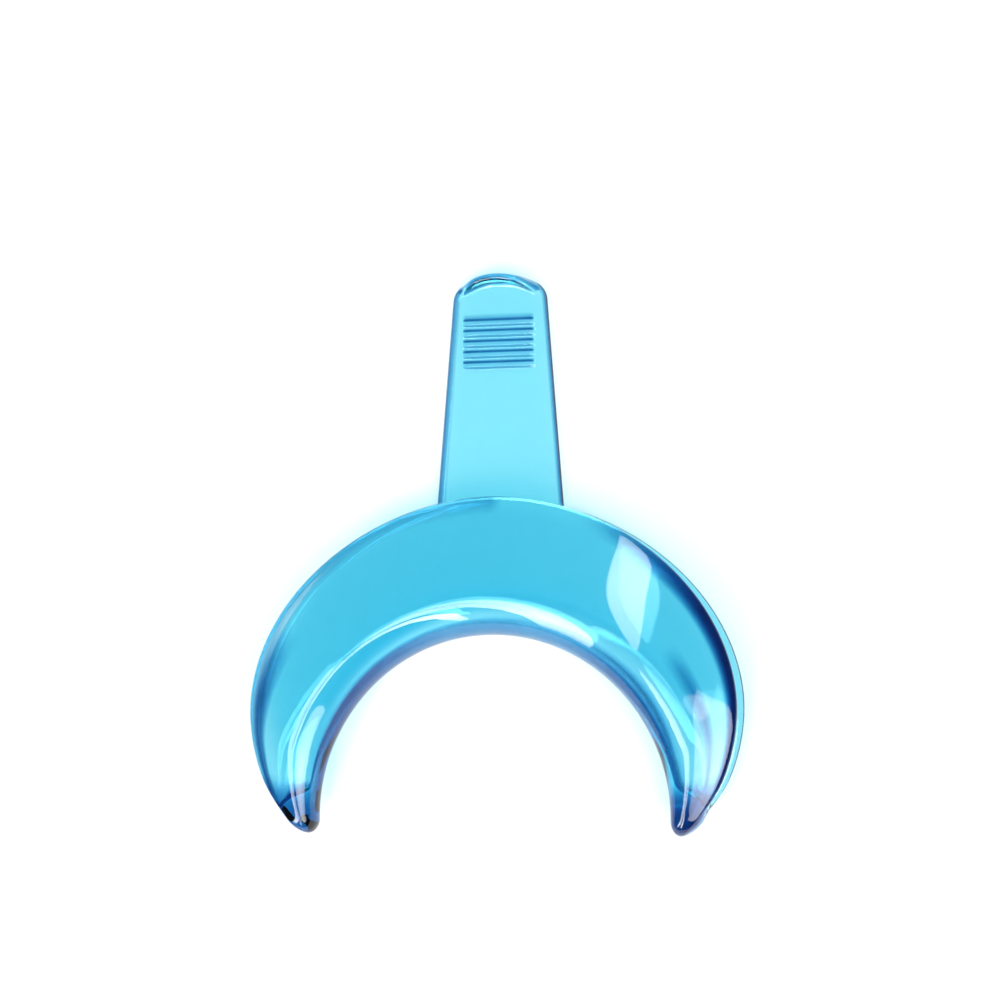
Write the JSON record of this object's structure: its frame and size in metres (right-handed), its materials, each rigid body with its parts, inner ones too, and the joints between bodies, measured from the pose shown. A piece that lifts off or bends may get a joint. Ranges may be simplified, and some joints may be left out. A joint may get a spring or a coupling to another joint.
{
  "type": "cheek retractor",
  "caption": "Half-moon cheek retractor in clear blue plastic: a crescent cup with an outward-facing lip channel on a flat ribbed handle with a turned-up end.",
  "frame": {"origin": "centre of the part's box in plan, on the plane that the handle's flat back and the outer flange's back lie on", "axes": "+Y along the handle from the crescent to the handle's end, +Z out of the face that carries the inner flange and the grip ribs, X across the crescent"},
  "size_m": [0.0812, 0.0922, 0.013],
  "materials": {
    "clear_blue": "transparent light blue injection-moulded plastic, polished mould finish"
  },
  "bodies": {
    "root": {"handle": "clear_blue", "outer_flange": "clear_blue", "lip_bend": "clear_blue", "inner_flange": "clear_blue", "left_tip": "clear_blue", "right_tip": "clear_blue"}
  },
  "joints": []
}
